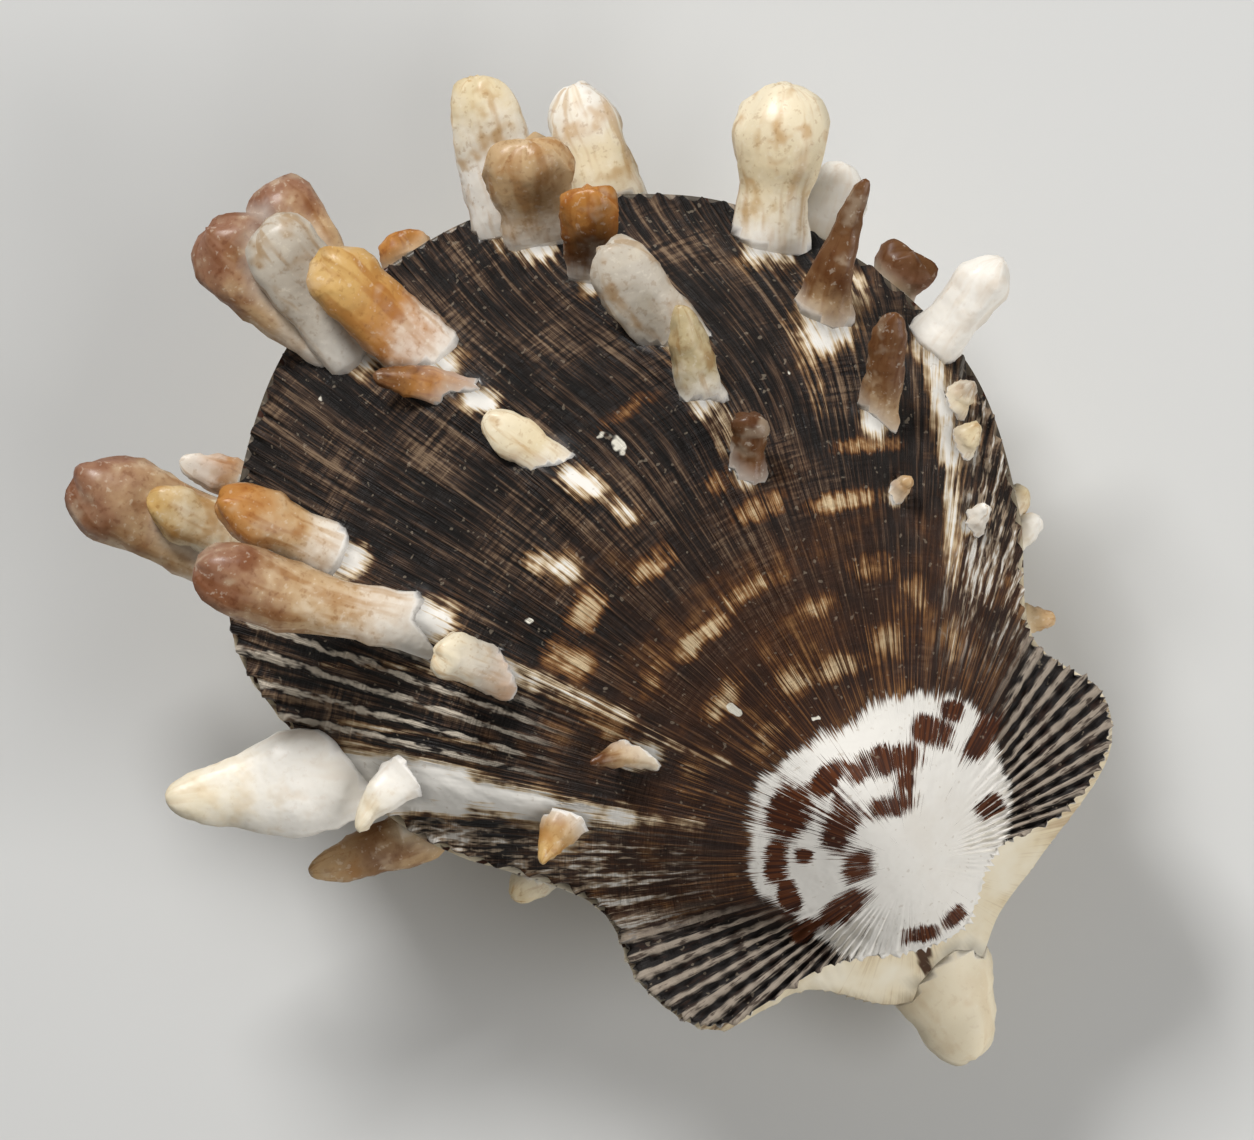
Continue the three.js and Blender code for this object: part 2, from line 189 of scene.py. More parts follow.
# Spines: plan points of root and tip, climb, widths at root, middle and tip, rounded share,
# flatness, sideways bend, and the colours at root, middle and tip
UPPER_SPINES = [
    ((-37.5, 41.9), (-54.4, 51.6), 1, (7.0, 10.4, 6.4), 0.42, 0.5, 0.0, "white white cream"),
    ((-33.4, 37.8), (-41.2, 37.4), 1, (6.4, 3.8, 2.4), 0.4, 0.7, 1.2, "white white cream"),
    ((-23.2, 24.9), (-28.9, 23.5), 2, (5.0, 3.4, 2.6), 0.5, 0.7, 0.8, "white tan honey"),
    ((-13.8, 25.2), (-19.0, 28.2), 3, (3.8, 2.6, 1.8), 0.5, 0.8, 0.4, "bone tan brown"),
    ((-19.9, 40.1), (-24.4, 46.2), 4, (4.4, 4.2, 4.4), 0.16, 0.7, 0.0, "amber grey cream"),
    ((-22.2, 48.5), (-37.7, 67.5), 4, (6.2, 5.4, 7.4), 0.18, 0.7, -0.8, "white tan purple"),
    ((-25.0, 58.7), (-31.8, 71.6), 4, (5.6, 4.6, 6.0), 0.26, 0.6, 0.0, "white tan amber"),
    ((-32.0, 63.5), (-41.7, 82.7), 1, (7.0, 8.0, 9.2), 0.26, 0.6, 0.0, "white tan purple"),
    ((-31.0, 63.2), (-37.0, 76.4), 4, (5.0, 5.0, 5.6), 0.3, 0.6, 0.0, "white cream honey"),
    ((-2.2, 49.6), (-6.1, 61.6), 1, (4.0, 3.4, 4.4), 0.24, 0.45, 0.0, "white bone cream"),
    ((-4.8, 62.5), (-12.1, 71.8), 1, (3.6, 3.8, 3.2), 0.4, 0.4, 0.4, "brown amber brown"),
    ((-6.3, 68.6), (-9.3, 84.6), 4, (6.4, 6.8, 7.2), 0.2, 0.6, 0.0, "white amber honey"),
    ((-10.8, 74.0), (-11.7, 90.6), 3, (7.0, 7.6, 8.2), 0.2, 0.55, 0.0, "white grey grey"),
    ((-11.5, 76.0), (-15.9, 93.9), 2, (7.0, 8.6, 9.6), 0.2, 0.5, 0.0, "white tan purple"),
    ((-10.5, 76.5), (-8.8, 93.9), 1, (5.6, 7.2, 8.2), 0.24, 0.55, 0.0, "white tan purple"),
    ((10.6, 40.9), (14.6, 45.4), 4, (3.6, 3.2, 3.4), 0.14, 0.8, 0.0, "brown brown umber"),
    ((12.0, 49.3), (15.7, 58.1), 6, (4.6, 3.8, 3.6), 0.4, 0.7, 0.0, "white olive olive"),
    ((14.0, 54.1), (13.7, 67.4), 6, (4.8, 6.0, 7.0), 0.22, 0.4, -0.4, "grey grey grey"),
    ((10.7, 65.6), (15.9, 73.0), 8, (3.8, 4.8, 6.2), 0.14, 0.4, 0.0, "white brown amber"),
    ((9.0, 72.0), (14.2, 80.9), 7, (5.0, 6.8, 9.2), 0.2, 0.45, 0.0, "white tan tan"),
    ((8.2, 75.0), (14.4, 89.4), 4, (6.2, 7.6, 7.0), 0.26, 0.6, 0.0, "white white bone"),
    ((20.9, 30.6), (23.5, 30.8), 2, (2.6, 2.2, 2.0), 0.4, 0.8, 0.0, "bone tan tan"),
    ((24.0, 37.3), (32.1, 44.6), 7, (4.2, 3.8, 3.8), 0.3, 0.5, 0.0, "tan brown brown"),
    ((26.0, 47.9), (38.2, 56.8), 8, (8.0, 4.2, 1.9), 0.2, 0.6, -0.6, "tan brown brown"),
    ((27.6, 58.5), (38.3, 69.6), 5, (8.0, 6.4, 9.8), 0.34, 0.75, 0.0, "white bone cream"),
    ((34.0, 40.3), (44.5, 42.6), 4, (5.8, 4.6, 5.4), 0.28, 0.85, 0.0, "white white white"),
    ((31.5, 34.2), (34.6, 34.6), 2, (3.2, 2.8, 2.4), 0.5, 0.8, 0.0, "white bone grey"),
    ((29.4, 30.6), (32.4, 31.0), 2, (3.2, 2.8, 2.4), 0.5, 0.8, 0.0, "white bone bone"),
    ((25.4, 23.6), (28.0, 24.1), 2, (2.8, 2.4, 2.2), 0.5, 0.8, 0.0, "white grey white"),
]
# The lower valve's spines have their root height as well, before the climb
LOWER_SPINES = [
    ((-2.8, 76.5), (-1.1, 82.6), -4, 2, (4.8, 4.2, 4.6), 0.3, 0.6, 0.0, "white amber amber"),
    ((16.0, 67.5), (22.1, 83.3), -5, 2, (8.0, 6.6, 6.8), 0.3, 0.7, 0.0, "white bone white"),
    ((29.5, 54.0), (38.8, 60.0), -5, 2, (6.4, 6.0, 5.8), 0.36, 0.7, 0.0, "white white white"),
    ((32.4, 46.3), (38.5, 49.0), -5, 3, (4.8, 4.6, 5.8), 0.22, 0.5, 0.0, "white purple brown"),
    ((-26.2, 68.5), (-32.3, 78.0), -5, 2, (4.6, 3.6, 3.6), 0.36, 0.6, 0.0, "white amber white"),
    ((-34.0, 32.8), (-47.6, 37.5), -5, 2, (5.4, 4.6, 4.4), 0.5, 0.6, 0.0, "tan brown tan"),
    ((-26.0, 22.8), (-33.2, 23.0), -5, 2, (4.4, 3.6, 3.2), 0.4, 0.7, 0.0, "white cream bone"),
    ((27.6, 22.8), (32.8, 23.2), -4, 1, (3.8, 3.2, 3.0), 0.4, 0.8, 0.0, "white white bone"),
    ((27.0, 20.2), (32.0, 20.2), -4, 1, (3.4, 2.8, 2.6), 0.4, 0.8, 0.0, "white white white"),
    ((22.2, 14.5), (26.9, 11.2), -3, 1, (3.0, 2.6, 2.2), 0.4, 0.7, 0.0, "bone tan tan"),
    ((-2.8, -3.6), (-6.5, -18.4), -9.9, -2.1, (12.6, 9.0, 6.6), 0.3, 0.7, 0.0, "cream cream cream"),
]

# Degrees between the ribs of the ears
EAR_PITCH = 3.9
# How far the roots reach back, in root widths
ROOT_BACK = 0.5
# Metres over which the looks of spine and valve blend
JOIN_BLEND = 0.0016
# Attributes that only the trees need
TREE_ONLY = {
    "flat", "root_width", "tip_width", "middle_width", "rounded", "bend", "side", "reach", "lift", "start",
    "edge",
}


# Numbers and outlines


def linear(colour):
    """A display colour of 0 to 255 as linear red, green, blue and alpha."""
    parts = [value / 255 for value in colour]
    bent = [v / 12.92 if v <= 0.04045 else ((v + 0.055) / 1.055) ** 2.4 for v in parts]
    return (*bent, 1.0)


def ramp(value, low, high):
    """Smooth step from 0 at low to 1 at high."""
    share = np.clip((value - low) / (high - low), 0, 1)
    return share * share * (3 - 2 * share)


def smooth_max(a, b, blend):
    return (a + b + np.sqrt((a - b) ** 2 + blend**2)) / 2


def closed_curve(points, per_span=48):
    """A closed centripetal Catmull-Rom curve through given plan points."""
    p1 = np.asarray(points, float)
    p0, p2, p3 = np.roll(p1, 1, 0), np.roll(p1, -1, 0), np.roll(p1, -2, 0)
    d0, d1, d2 = (np.sqrt(np.linalg.norm(b - a, axis=1))[:, None] for a, b in ((p0, p1), (p1, p2), (p2, p3)))
    t1 = ((p1 - p0) / d0 - (p2 - p0) / (d0 + d1) + (p2 - p1) / d1) * d1
    t2 = ((p2 - p1) / d1 - (p3 - p1) / (d1 + d2) + (p3 - p2) / d2) * d1
    t = (np.arange(per_span) / per_span)[None, :, None]
    c2 = -3 * p1 + 3 * p2 - 2 * t1 - t2
    c3 = 2 * p1 - 2 * p2 + t1 + t2
    curve = p1[:, None] + t1[:, None] * t + c2[:, None] * t**2 + c3[:, None] * t**3
    return curve.reshape(-1, 2)


def spaced(curve, count):
    """Evenly spaced points along a closed curve."""
    loop = np.vstack([curve, curve[:1]])
    along = np.concatenate([[0], np.cumsum(np.linalg.norm(np.diff(loop, axis=0), axis=1))])
    wanted = np.arange(count) / count * along[-1]
    return np.stack([np.interp(wanted, along, loop[:, axis]) for axis in (0, 1)], axis=1)


def reach_from(centre, outline):
    """Distance from a centre to a closed outline, as a function of plan points."""
    curve = closed_curve(outline)
    dx, dy = (curve - np.asarray(centre)).T
    angle, reach = np.arctan2(dx, dy), np.hypot(dx, dy)

    def distance(x, y):
        return np.interp(np.arctan2(x - centre[0], y - centre[1]), angle, reach, period=TURN)

    return distance


dome_reach = reach_from(DISC_CENTRE, DISC_MARGIN + DOME_FOOT)
hollow_reach = reach_from(HOLLOW_CENTRE, HOLLOW_EDGE)


def disc_share(x, y):
    return np.hypot(x - DISC_CENTRE[0], y - DISC_CENTRE[1]) / dome_reach(x, y)


def umbo_polar(x, y):
    """Distance from the umbo and bearing there, in degrees from +Y."""
    dx, dy = x - UMBO[0], y - UMBO[1]
    return np.hypot(dx, dy), np.degrees(np.arctan2(dx, dy))


def thread_bearing(x, y):
    """Bearing at the umbo of the thread that runs through a point, with the ribs' swing taken out."""
    distance, bearing = umbo_polar(x, y)
    angles, swings = np.array(RIBS, float).T
    return bearing - np.interp(bearing, angles + swings, swings, 0, 0) * ramp(distance, *SWING)


def rib_relief(x, y):
    distance = umbo_polar(x, y)[0]
    thread = thread_bearing(x, y)
    aside = (np.radians(thread - angle) * distance / RIB_HALF_WIDTH for angle, _ in RIBS)
    relief = sum(np.exp(-(gap**2)) for gap in aside)
    return RIB_HEIGHT * relief * ramp(distance, *RIB_RAMP)


def upper_height(x, y):
    inside = np.clip(1 - disc_share(x, y) ** 2, 0, 1)
    to_umbo = np.hypot(x - UMBO_TOP[0], y - UMBO_TOP[1]) / UMBO_SPREAD
    dome = DOME_HEIGHT * inside**0.78 + UMBO_RISE * np.exp(-(to_umbo**2)) * np.sqrt(inside)
    return HALF_GAP + smooth_max(dome, UPPER_EDGE, 1) + rib_relief(x, y) * inside**0.2


def hinge_drop(y):
    return HINGE_SLOPE * np.maximum(0, HINGE_LINE - y)


def lower_height(x, y):
    inside = np.clip(1 - disc_share(x, y) ** 2.4, 0, 1)
    return -HALF_GAP - smooth_max(BOWL_DEPTH * inside**0.62, LOWER_EDGE + hinge_drop(y), 1.5)


# Node trees


class Value:
    """A socket of a node tree that Python's operators work on."""

    def __init__(self, graph, socket):
        self.graph = graph
        self.socket = socket

    def math(self, operation, *others):
        return self.graph.node("ShaderNodeMath", {"operation": operation}, dict(enumerate((self, *others))))

    def __add__(self, other):
        return self.math("ADD", other)

    def __sub__(self, other):
        return self.math("SUBTRACT", other)

    def __mul__(self, other):
        return self.math("MULTIPLY", other)

    def __truediv__(self, other):
        return self.math("DIVIDE", other)

    def __pow__(self, other):
        return self.math("POWER", other)

    def __neg__(self):
        return self.math("MULTIPLY", -1.0)

    def __rsub__(self, other):
        return (-self) + other

    __radd__ = __add__
    __rmul__ = __mul__

    def step(self, low, high):
        """Smooth step from 0 at low to 1 at high, which may be the smaller one."""
        settings = {"interpolation_type": "SMOOTHSTEP"}
        if low <= high:
            return self.graph.node("ShaderNodeMapRange", settings, {0: self, 1: low, 2: high})
        return self.graph.node("ShaderNodeMapRange", settings, {0: self, 1: high, 2: low, 3: 1.0, 4: 0.0})


class Graph:
    """One node tree and the single method that adds nodes to it."""

    def __init__(self, tree):
        self.tree = tree

    def node(self, kind, settings=None, sockets=None, output=0):
        made = self.tree.nodes.new(kind)
        for name, value in (settings or {}).items():
            if name == "stops":
                for _ in value[2:]:
                    made.color_ramp.elements.new(0.5)
                for element, (position, colour) in zip(made.color_ramp.elements, value):
                    element.position, element.color = position, colour
            else:
                setattr(made, name, value)
        for key, value in (sockets or {}).items():
            if isinstance(value, Value):
                self.tree.links.new(value.socket, made.inputs[key])
            else:
                made.inputs[key].default_value = value
        return Value(self, made.outputs[output]) if made.outputs else made

    def mix(self, factor, low, high):
        return self.node("ShaderNodeMix", {"data_type": "RGBA"}, {0: factor, 6: low, 7: high}, 2)

    def vector(self, operation, a, b):
        return self.node("ShaderNodeVectorMath", {"operation": operation}, {0: a, 1: b})

    def scale(self, vector, factor):
        return self.node("ShaderNodeVectorMath", {"operation": "SCALE"}, {0: vector, 3: factor})

    def point(self, x, y, z):
        return self.node("ShaderNodeCombineXYZ", None, {0: x, 1: y, 2: z})

    def noise(self, vector, scale, detail=2.0, rough=0.55):
        return self.node("ShaderNodeTexNoise", None, {"Vector": vector, "Scale": scale, "Detail": detail,
                                                      "Roughness": rough})


def tree_with(name, inputs):
    """A new Geometry Nodes tree with named inputs; returns tree, graph, mesh, inputs."""
    tree = bpy.data.node_groups.new(name, "GeometryNodeTree")
    tree.interface.new_socket("Mesh", in_out="OUTPUT", socket_type="NodeSocketGeometry")
    tree.interface.new_socket("Mesh", in_out="INPUT", socket_type="NodeSocketGeometry")
    for label, kind in inputs:
        tree.interface.new_socket(label, in_out="INPUT", socket_type="NodeSocket" + kind)
    entry = tree.nodes.new("NodeGroupInput")
    graph = Graph(tree)
    sockets = [Value(graph, socket) for socket in entry.outputs[: len(inputs) + 1]]
    return tree, graph, sockets[0], sockets[1:]


def close_tree(tree, mesh):
    leave = tree.nodes.new("NodeGroupOutput")
    tree.links.new(mesh.socket, leave.inputs[0])


def run_tree(piece, tree, values):
    """Runs a Geometry Nodes tree on a piece and returns the plain mesh that it makes."""
    modifier = piece.modifiers.new(tree.name, "NODES")
    modifier.node_group = tree
    named = {item.name: item.identifier for item in tree.interface.items_tree if item.in_out == "INPUT"}
    for label, value in values.items():
        modifier[named[label]] = value
    shown = piece.evaluated_get(bpy.context.evaluated_depsgraph_get())
    mesh = bpy.data.meshes.new_from_object(shown, preserve_all_data_layers=True,
                                           depsgraph=bpy.context.evaluated_depsgraph_get())
    piece.modifiers.remove(modifier)
    return mesh


def attribute(graph, name, kind="FLOAT"):
    """A named attribute inside a Geometry Nodes tree."""
    return graph.node("GeometryNodeInputNamedAttribute", {"data_type": kind}, {"Name": name})


def relief_tree():
    """Raises threads, ear ribs, growth lines and margin teeth on a valve's outer face."""
    lengths = ("Thread height", "Ear rib height", "Growth height", "Tooth depth")
    inputs = [(label, "Float") for label in lengths] + [("Material", "Material")]
    tree, g, mesh, (thread_h, ear_h, growth_h, tooth_h, material) = tree_with("Shell relief", inputs)
    thread, distance, share = (attribute(g, name) for name in ("thread", "distance", "share"))
    ear, outer, edge, left = (attribute(g, name) for name in ("ear", "outer", "edge", "left"))
    far = distance.step(14.0, 34.0)
    comb = g.noise(g.point(thread * 0.7, distance * 0.05, 2.0), 1.0, 3.0)
    threads = (comb - 0.5) * 3.0 * far * (1 - ear) * thread_h
    strong = (thread * (TURN / LEFT_RIB_PITCH)).math("SINE") * left * thread_h * 1.6
    beads = (distance * (TURN / BEAD_PITCH) + comb * 4.0).math("SINE") * 0.3 + 0.8
    fan = (thread * (TURN / EAR_PITCH) + comb * 4.0).math("SINE") * beads * ear * ear_h
    lines = g.noise(g.point(share * 40.0, thread * 0.05, 5.0), 1.0, 4.0, 0.65) - 0.5
    growth = lines * 2.0 * growth_h * distance.step(8.0, 30.0)
    teeth = ((thread * (TURN / 1.5) + comb * 9.0).math("SINE") + (comb - 0.5) * 4.0) * edge * tooth_h
    lift = ((threads + strong + fan + growth) * outer + teeth)
    normal = g.node("GeometryNodeInputNormal")
    moved = g.node("GeometryNodeSetPosition", None, {"Geometry": mesh, "Offset": g.scale(normal, lift)})
    patch = g.noise(g.node("GeometryNodeInputPosition"), 130.0, 4.0, 0.6)
    arcs = g.noise(g.point(distance * 0.24 + patch * 1.4, thread * 0.05, 12.0), 1.0, 2.0)
    for name, value in (("patch", patch), ("arcs", arcs)):
        moved = g.node("GeometryNodeStoreNamedAttribute", {"data_type": "FLOAT", "domain": "POINT"},
                       {"Geometry": moved, "Name": name, "Value": value})
    smooth = g.node("GeometryNodeSetShadeSmooth", None, {"Geometry": moved})
    close_tree(tree, g.node("GeometryNodeSetMaterial", None, {"Geometry": smooth, "Material": material}))
    return tree


def spine_tree():
    """Grows a flattened, lumpy tube with a lobed tip from every seed point, by its attributes."""
    inputs = [("Sides", "Int"), ("Stations", "Int"), ("Wobble", "Float"), ("Material", "Material")]
    tree, g, mesh, (sides, stations, wobble, material) = tree_with("Shell spines", inputs)
    tube = g.node("GeometryNodeMeshCylinder", {"fill_type": "TRIANGLE_FAN"},
                  {"Vertices": sides, "Side Segments": stations, "Radius": 1.0, "Depth": 1.0})
    local = g.node("GeometryNodeInputPosition")
    height = g.node("ShaderNodeSeparateXYZ", None, {0: local}, 2)
    even = (height + 0.5).math("MAXIMUM", 0.0).math("MINIMUM", 1.0)
    stored = tube
    for name, kind, value in (("along", "FLOAT", 1 - (1 - even) ** 1.4), ("ring", "FLOAT_VECTOR", local)):
        stored = g.node("GeometryNodeStoreNamedAttribute", {"data_type": kind, "domain": "POINT"},
                        {"Geometry": stored, "Name": name, "Value": value})
    seeded = g.node("GeometryNodeInstanceOnPoints", None, {"Points": mesh, "Instance": stored})
    real = g.node("GeometryNodeRealizeInstances", None, {"Geometry": seeded})
    along = attribute(g, "along")
    root, middle, tip = (attribute(g, name) for name in ("root_width", "middle_width", "tip_width"))
    rounded, flat, bend = (attribute(g, name) for name in ("rounded", "flat", "bend"))
    start, reach, side, lift, ring = (
        attribute(g, name, "FLOAT_VECTOR") for name in ("start", "reach", "side", "lift", "ring"))
    length = g.node("ShaderNodeVectorMath", {"operation": "LENGTH"}, {0: reach}, 1)
    forward = g.node("ShaderNodeVectorMath", {"operation": "NORMALIZE"}, {0: reach})
    flare = (along * length / root * -1.1).math("EXPONENT") * root * 0.3
    width = root + (middle - root) * along.step(0.0, 0.45) + (tip - middle) * along.step(0.4, 0.82) + flare
    past = ((along - 1.0 + rounded) / rounded).math("MAXIMUM", 0.0)
    cap = (1 - past * past).math("MAXIMUM", 0.0).math("SQRT")
    short_of = 1 - (along * length / root * 1.6).math("MINIMUM", 1.0)
    taper = (1 - short_of * short_of).math("SQRT") * 0.85 + 0.15
    half = width * cap * taper * 0.5
    bow = along * (1 - along) * 4.0 * bend
    ring_x, ring_y = (g.node("ShaderNodeSeparateXYZ", None, {0: ring}, axis) for axis in range(2))
    centre = g.vector("ADD", start, g.scale(reach, along))
    slim = flat * (along.step(0.0, 0.3) * 0.55 + 0.45)
    outward = g.vector("ADD", g.scale(side, ring_x), g.scale(lift, ring_y * slim))
    place = g.vector("ADD", g.vector("ADD", centre, g.scale(side, bow)), g.scale(outward, half))
    own = g.vector("ADD", g.scale(start, 900.0), ring)
    lobes = g.noise(g.scale(own, 1.25), 1.0, 2.0) - 0.5
    place = g.vector("ADD", place, g.scale(forward, lobes * tip * 1.1 * along.step(0.5, 0.95) * cap))
    lumps = g.noise(g.scale(place, 260.0), 1.0, 2.0) - 0.5
    pits = g.noise(g.scale(place, 1000.0), 1.0, 3.0) - 0.5
    flutes = g.noise(g.vector("ADD", g.scale(own, 2.6), g.scale(forward, along * 1.4)), 1.0, 2.0) - 0.5
    rings = g.noise(g.point(along * length * 900.0, root * 4000.0, 1.0), 1.0, 2.0) - 0.5
    push = (lumps * 1.7 + flutes * 2.4 + rings * 0.8 + pits * 0.6) * wobble * along.step(0.05, 0.25)
    place = g.vector("ADD", place, g.scale(outward, push * cap))
    grown = g.node("GeometryNodeSetPosition", None, {"Geometry": real, "Position": place})
    welded = g.node("GeometryNodeMergeByDistance", None, {"Geometry": grown, "Distance": 0.000002})
    smooth = g.node("GeometryNodeSetShadeSmooth", None, {"Geometry": welded})
    close_tree(tree, g.node("GeometryNodeSetMaterial", None, {"Geometry": smooth, "Material": material}))
    return tree


# Meshes


def in_frame(points):
    """Shell millimetres to frame metres."""
    return (np.asarray(points, float) + PLACE) * MM


def put_attribute(mesh, name, kind, values):
    field = {"FLOAT": "value", "FLOAT_VECTOR": "vector", "FLOAT_COLOR": "color"}[kind]
    layer = mesh.attributes.new(name, kind, "POINT")
    layer.data.foreach_set(field, np.asarray(values, np.float32).ravel())


def ring_mesh(name, rings, flip):
    """A closed mesh over rings of points, from a single first point to a single last one."""
    points = np.vstack(rings)
    starts = np.concatenate([[0], np.cumsum([len(ring) for ring in rings])])
    count = len(rings[1])
    here, after = np.arange(count), (np.arange(count) + 1) % count
    faces = np.stack([np.zeros(count, int), starts[1] + here, starts[1] + after], axis=1).tolist()
    for row in range(1, len(rings) - 2):
        low, high = starts[row], starts[row + 1]
        faces += np.stack([low + here, high + here, high + after, low + after], axis=1).tolist()
    low = starts[len(rings) - 2]
    faces += np.stack([low + here, np.full(count, starts[-2]), low + after], axis=1).tolist()
    if flip:
        faces = [face[::-1] for face in faces]
    mesh = bpy.data.meshes.new(name)
    mesh.from_pydata(in_frame(points), [], faces)
    mesh.update()
    return mesh, points


def new_piece(name, mesh):
    piece = bpy.data.objects.new(name, mesh)
    bpy.context.scene.collection.objects.link(piece)
    return piece


def hollow_rings(edge, top):
    """Rings of a valve's inside, from its edge to the single point at its depth."""
    dx, dy = (edge - np.asarray(HOLLOW_CENTRE)).T
    reach = hollow_reach(*edge.T) / np.hypot(dx, dy)
    rings = []
    for row in range(HOLLOW_ROWS, 0, -1):
        share = math.sin(row / HOLLOW_ROWS * math.pi / 2)
        height = math.copysign(HALF_GAP, top) + top * math.sqrt(max(0.0, 1 - share**2))
        rings.append(np.stack([HOLLOW_CENTRE[0] + dx * reach * share, HOLLOW_CENTRE[1] + dy * reach * share,
                               np.full(len(edge), height)], axis=1))
    rings.append(np.array([[*HOLLOW_CENTRE, math.copysign(HALF_GAP, top) + top]]))
    return rings


def outer_rings(edge, height, rows):
    """Rings of a valve's outside, from the umbo to the outline."""
    rings = [np.array([[*UMBO, float(height(*map(np.array, UMBO)))]])]
    for row in range(1, rows + 1):
        share = (row / rows) ** RING_POWER
        x, y = (UMBO[axis] + share * (edge[:, axis] - UMBO[axis]) for axis in (0, 1))
        rings.append(np.stack([x, y, height(x, y)], axis=1))
    return rings


def marks_field(x, y, marks):
    """Strength at plan points of listed marks that lie along the threads from the umbo."""
    field = np.zeros_like(x)
    for mark_x, mark_y, half_width, half_length, *strength in marks:
        away = np.array([mark_x - UMBO[0], mark_y - UMBO[1]])
        away = away / np.linalg.norm(away)
        dx, dy = x - mark_x, y - mark_y
        along, across = dx * away[0] + dy * away[1], dx * away[1] - dy * away[0]
        norm = (np.abs(along / half_length) ** 3 + np.abs(across / half_width) ** 3) ** (1 / 3)
        field = np.maximum(field, (strength[0] if strength else 1.0) * np.clip(1.6 - 1.05 * norm, 0, 1))
    return field


def stroke_gap(x, y, a, b):
    """How far along a stroke plan points lie, from 0 to 1, and how far from it."""
    along = b - a
    share = np.clip(((x - a[0]) * along[0] + (y - a[1]) * along[1]) / (along @ along), 0, 1)
    return share, np.hypot(x - a[0] - share * along[0], y - a[1] - share * along[1])


def strokes_field(x, y, strokes):
    """Strength at plan points of listed strokes from point to point."""
    field = np.zeros_like(x)
    for start, end, half_width, strength in strokes:
        _, gap = stroke_gap(x, y, np.asarray(start), np.asarray(end))
        field = np.maximum(field, strength * np.exp(-((gap / half_width) ** 2)))
    return field


def mounds(x, y, spines):
    """Height of the swellings that lead from the ribs into the spines' roots."""
    rise = np.zeros_like(x)
    for start, end, *_, widths, _, flat, _, _ in spines:
        a, b = np.asarray(start), np.asarray(end)
        length = np.linalg.norm(b - a)
        back = (b - a) / length
        low, high = a - back * widths[0] * 0.5, a + back * min(0.25 * length, widths[0] * 0.5)
        share, gap = stroke_gap(x, y, low, high)
        swell = (0.4 * flat * widths[0] + 0.2) * min(1.0, length / FULL_SINK_LENGTH)
        rise = np.maximum(rise, swell * (0.35 + 0.65 * share) * np.exp(-((gap / (0.52 * widths[0])) ** 2)))
    return rise


def swollen_height(x, y):
    """Height of the upper valve with its pale ridges and the swellings under its spines."""
    inside = np.clip(1 - disc_share(x, y) ** 2, 0, 1)
    ridge = RIDGE_HEIGHT * strokes_field(x, y, PALE_STROKES)
    return upper_height(x, y) + np.maximum(mounds(x, y, UPPER_SPINES), ridge) * inside**0.3


def root_strokes(spines):
    """White flares round the spines' roots."""
    strokes = []
    for start, end, *_, widths, _, _, _, _ in spines:
        a, b = np.asarray(start), np.asarray(end)
        back = (b - a) / np.linalg.norm(b - a)
        strokes.append((tuple(a), tuple(a + back * widths[0] * 0.5), widths[0] * 0.44, 1.05))
    return strokes


def seed_mesh(name, spines, root_height):
    """Seed points of a valve's spines, with the sizes, directions and colours that the tree reads."""
    rows = []
    for start, end, *height, climb, widths, rounded, flat, bend, colours in spines:
        sink = SPINE_SINK * min(1.0, max(0.6, math.dist(start, end) / FULL_SINK_LENGTH))
        low = height[0] if height else max(HALF_GAP + 0.3 * widths[0], root_height(*start) - sink)
        root, tip = np.array([*start, low]), np.array([*end, low + climb])
        if not height:
            behind = ROOT_BACK * widths[0] / np.linalg.norm(tip[:2] - root[:2])
            root[:2] -= behind * (tip - root)[:2]
            root[2] -= min(behind * climb, max(0.0, low - HALF_GAP - 0.5 * flat * widths[0] - 0.2))
        reach = tip - root
        side = np.array([reach[1], -reach[0], 0.0])
        side /= np.linalg.norm(side)
        lift = np.cross(side, reach)
        lift /= np.linalg.norm(lift)
        rows.append({
            "start": in_frame(root), "reach": reach * MM, "side": side, "lift": lift,
            "root_width": widths[0] * MM, "middle_width": widths[1] * MM, "tip_width": widths[2] * MM,
            "rounded": rounded, "flat": flat, "bend": bend * MM, "spine": 1.0,
            "stain": 0.3 if set(colours.split()) <= CLEAN else 1.0,
            **{key: linear(PALETTE[word]) for key, word in zip(("root_colour", "middle_colour", "tip_colour"),
                                                               colours.split())},
        })
    mesh = bpy.data.meshes.new(name)
    mesh.from_pydata([row["start"] for row in rows], [], [])
    for key, value in rows[0].items():
        size = np.size(value)
        kind = {1: "FLOAT", 3: "FLOAT_VECTOR", 4: "FLOAT_COLOR"}[size]
        put_attribute(mesh, key, kind, [row[key] for row in rows])
    return mesh


def fuse(piece, spines):
    """Unites a valve with its spines, which may cross each other."""
    bpy.ops.object.select_all(action="DESELECT")
    spines.select_set(True)
    bpy.context.view_layer.objects.active = spines
    bpy.ops.mesh.separate(type="LOOSE")
    loose = list(bpy.context.selected_objects)
    group = bpy.data.collections.new("spines")
    for part in loose:
        group.objects.link(part)
    modifier = piece.modifiers.new("fuse", "BOOLEAN")
    modifier.operation = "UNION"
    modifier.solver = "MANIFOLD"
    modifier.operand_type = "COLLECTION"
    modifier.collection = group
    depsgraph = bpy.context.evaluated_depsgraph_get()
    piece.data = bpy.data.meshes.new_from_object(
        piece.evaluated_get(depsgraph), preserve_all_data_layers=True, depsgraph=depsgraph)
    piece.modifiers.remove(modifier)
    for part in loose:
        bpy.data.objects.remove(part)
    bpy.data.collections.remove(group)
    blend_joins(piece.data)
    for layer in [item.name for item in piece.data.attributes if item.name in TREE_ONLY]:
        piece.data.attributes.remove(piece.data.attributes[layer])
    piece.data.shade_smooth()


